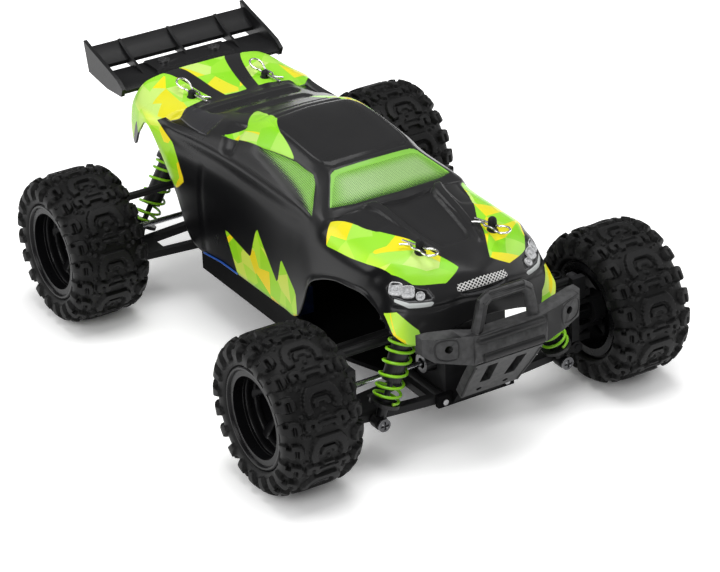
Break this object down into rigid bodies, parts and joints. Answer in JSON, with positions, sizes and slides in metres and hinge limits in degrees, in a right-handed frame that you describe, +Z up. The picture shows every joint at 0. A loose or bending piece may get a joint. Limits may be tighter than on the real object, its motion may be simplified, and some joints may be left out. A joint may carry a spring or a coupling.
{
  "type": "rc monster truck",
  "caption": "Four wheel drive electric monster truck with painted body shell, coil-over suspension, link steering, chunky tyres, front bumper with hoop and rear wing.",
  "frame": {"origin": "on the ground under the middle of the truck's box", "axes": "+Z up, -Y is the truck's front, +X is the truck's own left side"},
  "size_m": [0.233, 0.344, 0.1245],
  "materials": {
    "black_nylon": "fine moulded grain",
    "wing_plastic": "satin moulded",
    "painted_shell": "painted clear polycarbonate with green and yellow facets",
    "battery_wrap": "shrink wrap",
    "case_plastic": "satin",
    "white_nylon": "plain",
    "motor_steel": "brushed",
    "bright_steel": "nickel plated",
    "brass_gear": "cut teeth",
    "shock_black": "satin",
    "green_spring": "powder coated wire",
    "tyre_rubber": "moulded tread",
    "rim_plastic": "satin"
  },
  "bodies": {
    "chassis": {"chassis_tub": "black_nylon", "front_gearbox": "black_nylon", "rear_gearbox": "black_nylon", "front_tower": "black_nylon", "rear_tower": "black_nylon", "front_bumper": "black_nylon", "rear_wing": "wing_plastic", "body_shell": "painted_shell", "battery": "battery_wrap", "receiver_box": "case_plastic", "motor": "motor_steel", "steering_servo": "case_plastic", "body_clips": "bright_steel", "fasteners": "bright_steel"},
    "motor_pinion": {"motor_pinion": "brass_gear"},
    "centre_shaft": {"centre_shaft": "bright_steel"},
    "front_diff": {"front_diff": "motor_steel"},
    "rear_diff": {"rear_diff": "motor_steel"},
    "steering_rack": {"steering_rack": "black_nylon"},
    "servo_horn": {"servo_horn": "white_nylon"},
    "arm_fl": {"lower_arm_fl": "black_nylon"},
    "link_fl": {"upper_link_fl": "black_nylon"},
    "carrier_fl": {"hub_carrier_fl": "black_nylon"},
    "shock_body_fl": {"shock_body_fl": "shock_black", "spring_fl": "green_spring"},
    "shock_rod_fl": {"shock_rod_fl": "shock_black"},
    "wheel_fl": {"tyre_fl": "tyre_rubber", "rim_fl": "rim_plastic"},
    "shaft_fl": {"drive_shaft_fl": "bright_steel"},
    "knuckle_fl": {"knuckle_fl": "black_nylon"},
    "tie_fl": {"tie_rod_fl": "black_nylon"},
    "arm_fr": {"lower_arm_fr": "black_nylon"},
    "link_fr": {"upper_link_fr": "black_nylon"},
    "carrier_fr": {"hub_carrier_fr": "black_nylon"},
    "shock_body_fr": {"shock_body_fr": "shock_black", "spring_fr": "green_spring"},
    "shock_rod_fr": {"shock_rod_fr": "shock_black"},
    "wheel_fr": {"tyre_fr": "tyre_rubber", "rim_fr": "rim_plastic"},
    "shaft_fr": {"drive_shaft_fr": "bright_steel"},
    "knuckle_fr": {"knuckle_fr": "black_nylon"},
    "tie_fr": {"tie_rod_fr": "black_nylon"},
    "arm_rl": {"lower_arm_rl": "black_nylon"},
    "link_rl": {"upper_link_rl": "black_nylon"},
    "carrier_rl": {"hub_carrier_rl": "black_nylon"},
    "shock_body_rl": {"shock_body_rl": "shock_black", "spring_rl": "green_spring"},
    "shock_rod_rl": {"shock_rod_rl": "shock_black"},
    "wheel_rl": {"tyre_rl": "tyre_rubber", "rim_rl": "rim_plastic"},
    "shaft_rl": {"drive_shaft_rl": "bright_steel"},
    "arm_rr": {"lower_arm_rr": "black_nylon"},
    "link_rr": {"upper_link_rr": "black_nylon"},
    "carrier_rr": {"hub_carrier_rr": "black_nylon"},
    "shock_body_rr": {"shock_body_rr": "shock_black", "spring_rr": "green_spring"},
    "shock_rod_rr": {"shock_rod_rr": "shock_black"},
    "wheel_rr": {"tyre_rr": "tyre_rubber", "rim_rr": "rim_plastic"},
    "shaft_rr": {"drive_shaft_rr": "bright_steel"}
  },
  "joints": [
    {"name": "suspension_fl", "type": "hinge", "parent": "chassis", "child": "arm_fl", "pos_m": [0.018, -0.12, 0.026], "axis": [0, -1, 0], "range_deg": [0, 15], "stiffness_Nm_per_rad": 1.2, "springref_deg": -20.05, "deforming": ["spring_fl"]},
    {"name": "link_fl_swing", "type": "hinge", "parent": "chassis", "child": "link_fl", "pos_m": [0.022, -0.12, 0.059], "axis": [0, -1, 0], "range_deg": [0, 15]},
    {"name": "carrier_fl_level", "type": "hinge", "parent": "arm_fl", "child": "carrier_fl", "pos_m": [0.066, -0.12, 0.026], "axis": [0, -1, 0], "range_deg": [-15, 0]},
    {"name": "shock_fl_swing", "type": "hinge", "parent": "chassis", "child": "shock_body_fl", "pos_m": [0.032, -0.134, 0.082], "axis": [0, -1, 0], "range_deg": [0, 2.66]},
    {"name": "shock_fl_foot", "type": "hinge", "parent": "arm_fl", "child": "shock_rod_fl", "pos_m": [0.0535, -0.134, 0.025], "axis": [0, -1, 0], "range_deg": [-12.44, 0]},
    {"name": "steer_fl", "type": "hinge", "parent": "carrier_fl", "child": "knuckle_fl", "pos_m": [0.072, -0.12, 0.04], "axis": [0, 0, 1], "range_deg": [-24, 24]},
    {"name": "tie_fl_swing", "type": "hinge", "parent": "steering_rack", "child": "tie_fl", "pos_m": [0.024, -0.10085, 0.0514], "axis": [0, -1, 0], "range_deg": [0, 15]},
    {"name": "wheel_fl_spin", "type": "hinge", "parent": "knuckle_fl", "child": "wheel_fl", "pos_m": [0.0955, -0.12, 0.04], "axis": [1, 0, 0], "continuous": true},
    {"name": "shaft_fl_swing", "type": "hinge", "parent": "carrier_fl", "child": "shaft_fl", "pos_m": [0.072, -0.12, 0.04], "axis": [0, -1, 0], "range_deg": [0, 12.85]},
    {"name": "suspension_fr", "type": "hinge", "parent": "chassis", "child": "arm_fr", "pos_m": [-0.018, -0.12, 0.026], "axis": [0, 1, 0], "range_deg": [0, 15], "stiffness_Nm_per_rad": 1.2, "springref_deg": -20.05, "deforming": ["spring_fr"]},
    {"name": "link_fr_swing", "type": "hinge", "parent": "chassis", "child": "link_fr", "pos_m": [-0.022, -0.12, 0.059], "axis": [0, 1, 0], "range_deg": [0, 15]},
    {"name": "carrier_fr_level", "type": "hinge", "parent": "arm_fr", "child": "carrier_fr", "pos_m": [-0.066, -0.12, 0.026], "axis": [0, 1, 0], "range_deg": [-15, 0]},
    {"name": "shock_fr_swing", "type": "hinge", "parent": "chassis", "child": "shock_body_fr", "pos_m": [-0.032, -0.134, 0.082], "axis": [0, 1, 0], "range_deg": [0, 2.66]},
    {"name": "shock_fr_foot", "type": "hinge", "parent": "arm_fr", "child": "shock_rod_fr", "pos_m": [-0.0535, -0.134, 0.025], "axis": [0, 1, 0], "range_deg": [-12.44, 0]},
    {"name": "steer_fr", "type": "hinge", "parent": "carrier_fr", "child": "knuckle_fr", "pos_m": [-0.072, -0.12, 0.04], "axis": [0, 0, 1], "range_deg": [-24, 24]},
    {"name": "tie_fr_swing", "type": "hinge", "parent": "steering_rack", "child": "tie_fr", "pos_m": [-0.024, -0.10085, 0.0514], "axis": [0, 1, 0], "range_deg": [0, 15]},
    {"name": "wheel_fr_spin", "type": "hinge", "parent": "knuckle_fr", "child": "wheel_fr", "pos_m": [-0.0955, -0.12, 0.04], "axis": [1, 0, 0], "continuous": true},
    {"name": "shaft_fr_swing", "type": "hinge", "parent": "carrier_fr", "child": "shaft_fr", "pos_m": [-0.072, -0.12, 0.04], "axis": [0, 1, 0], "range_deg": [0, 12.85]},
    {"name": "suspension_rl", "type": "hinge", "parent": "chassis", "child": "arm_rl", "pos_m": [0.018, 0.096, 0.026], "axis": [0, -1, 0], "range_deg": [0, 15], "stiffness_Nm_per_rad": 1.2, "springref_deg": -20.05, "deforming": ["spring_rl"]},
    {"name": "link_rl_swing", "type": "hinge", "parent": "chassis", "child": "link_rl", "pos_m": [0.022, 0.096, 0.059], "axis": [0, -1, 0], "range_deg": [0, 15]},
    {"name": "carrier_rl_level", "type": "hinge", "parent": "arm_rl", "child": "carrier_rl", "pos_m": [0.066, 0.096, 0.026], "axis": [0, -1, 0], "range_deg": [-15, 0]},
    {"name": "shock_rl_swing", "type": "hinge", "parent": "chassis", "child": "shock_body_rl", "pos_m": [0.026, 0.11, 0.08], "axis": [0, -1, 0], "range_deg": [0, 4.45]},
    {"name": "shock_rl_foot", "type": "hinge", "parent": "arm_rl", "child": "shock_rod_rl", "pos_m": [0.0575, 0.11, 0.025], "axis": [0, -1, 0], "range_deg": [-10.65, 0]},
    {"name": "wheel_rl_spin", "type": "hinge", "parent": "carrier_rl", "child": "wheel_rl", "pos_m": [0.0955, 0.096, 0.04], "axis": [1, 0, 0], "continuous": true},
    {"name": "shaft_rl_swing", "type": "hinge", "parent": "carrier_rl", "child": "shaft_rl", "pos_m": [0.072, 0.096, 0.04], "axis": [0, -1, 0], "range_deg": [0, 12.85]},
    {"name": "suspension_rr", "type": "hinge", "parent": "chassis", "child": "arm_rr", "pos_m": [-0.018, 0.096, 0.026], "axis": [0, 1, 0], "range_deg": [0, 15], "stiffness_Nm_per_rad": 1.2, "springref_deg": -20.05, "deforming": ["spring_rr"]},
    {"name": "link_rr_swing", "type": "hinge", "parent": "chassis", "child": "link_rr", "pos_m": [-0.022, 0.096, 0.059], "axis": [0, 1, 0], "range_deg": [0, 15]},
    {"name": "carrier_rr_level", "type": "hinge", "parent": "arm_rr", "child": "carrier_rr", "pos_m": [-0.066, 0.096, 0.026], "axis": [0, 1, 0], "range_deg": [-15, 0]},
    {"name": "shock_rr_swing", "type": "hinge", "parent": "chassis", "child": "shock_body_rr", "pos_m": [-0.026, 0.11, 0.08], "axis": [0, 1, 0], "range_deg": [0, 4.45]},
    {"name": "shock_rr_foot", "type": "hinge", "parent": "arm_rr", "child": "shock_rod_rr", "pos_m": [-0.0575, 0.11, 0.025], "axis": [0, 1, 0], "range_deg": [-10.65, 0]},
    {"name": "wheel_rr_spin", "type": "hinge", "parent": "carrier_rr", "child": "wheel_rr", "pos_m": [-0.0955, 0.096, 0.04], "axis": [1, 0, 0], "continuous": true},
    {"name": "shaft_rr_swing", "type": "hinge", "parent": "carrier_rr", "child": "shaft_rr", "pos_m": [-0.072, 0.096, 0.04], "axis": [0, 1, 0], "range_deg": [0, 12.85]},
    {"name": "steering_rack_slide", "type": "slide", "parent": "chassis", "child": "steering_rack", "axis": [1, 0, 0], "range_m": [-0.0083, 0.0083]},
    {"name": "servo_horn_turn", "type": "hinge", "parent": "chassis", "child": "servo_horn", "pos_m": [0.014, -0.08185, 0.05], "axis": [0, 0, 1], "range_deg": [-31, 31]},
    {"name": "centre_shaft_spin", "type": "hinge", "parent": "chassis", "child": "centre_shaft", "pos_m": [0, 0, 0.04], "axis": [0, 1, 0], "continuous": true},
    {"name": "motor_pinion_spin", "type": "hinge", "parent": "chassis", "child": "motor_pinion", "pos_m": [0.01593, 0.052, 0.0458], "axis": [0, 1, 0], "continuous": true},
    {"name": "front_diff_spin", "type": "hinge", "parent": "chassis", "child": "front_diff", "pos_m": [0, -0.12, 0.04], "axis": [1, 0, 0], "continuous": true},
    {"name": "rear_diff_spin", "type": "hinge", "parent": "chassis", "child": "rear_diff", "pos_m": [0, 0.096, 0.04], "axis": [1, 0, 0], "continuous": true}
  ],
  "couplings": [
    {"joint": "link_fl_swing", "follows": "suspension_fl", "ratio": 1},
    {"joint": "carrier_fl_level", "follows": "suspension_fl", "ratio": -1},
    {"joint": "shock_fl_swing", "follows": "suspension_fl", "ratio": 0.1738},
    {"joint": "shock_fl_foot", "follows": "suspension_fl", "ratio": -0.8262},
    {"joint": "tie_fl_swing", "follows": "suspension_fl", "ratio": 1},
    {"joint": "shaft_fl_swing", "follows": "suspension_fl", "ratio": 0.855},
    {"joint": "link_fr_swing", "follows": "suspension_fr", "ratio": 1},
    {"joint": "carrier_fr_level", "follows": "suspension_fr", "ratio": -1},
    {"joint": "shock_fr_swing", "follows": "suspension_fr", "ratio": 0.1738},
    {"joint": "shock_fr_foot", "follows": "suspension_fr", "ratio": -0.8262},
    {"joint": "steer_fr", "follows": "steer_fl", "ratio": 1},
    {"joint": "tie_fr_swing", "follows": "suspension_fr", "ratio": 1},
    {"joint": "shaft_fr_swing", "follows": "suspension_fr", "ratio": 0.855},
    {"joint": "link_rl_swing", "follows": "suspension_rl", "ratio": 1},
    {"joint": "carrier_rl_level", "follows": "suspension_rl", "ratio": -1},
    {"joint": "shock_rl_swing", "follows": "suspension_rl", "ratio": 0.2936},
    {"joint": "shock_rl_foot", "follows": "suspension_rl", "ratio": -0.7064},
    {"joint": "shaft_rl_swing", "follows": "suspension_rl", "ratio": 0.855},
    {"joint": "link_rr_swing", "follows": "suspension_rr", "ratio": 1},
    {"joint": "carrier_rr_level", "follows": "suspension_rr", "ratio": -1},
    {"joint": "shock_rr_swing", "follows": "suspension_rr", "ratio": 0.2936},
    {"joint": "shock_rr_foot", "follows": "suspension_rr", "ratio": -0.7064},
    {"joint": "shaft_rr_swing", "follows": "suspension_rr", "ratio": 0.855},
    {"joint": "steering_rack_slide", "follows": "steer_fl", "m_per_rad": -0.0196},
    {"joint": "servo_horn_turn", "follows": "steer_fl", "ratio": -1.265},
    {"joint": "motor_pinion_spin", "follows": "centre_shaft_spin", "ratio": -3.2},
    {"joint": "front_diff_spin", "follows": "centre_shaft_spin", "ratio": 0.3333},
    {"joint": "rear_diff_spin", "follows": "centre_shaft_spin", "ratio": 0.3333}
  ]
}
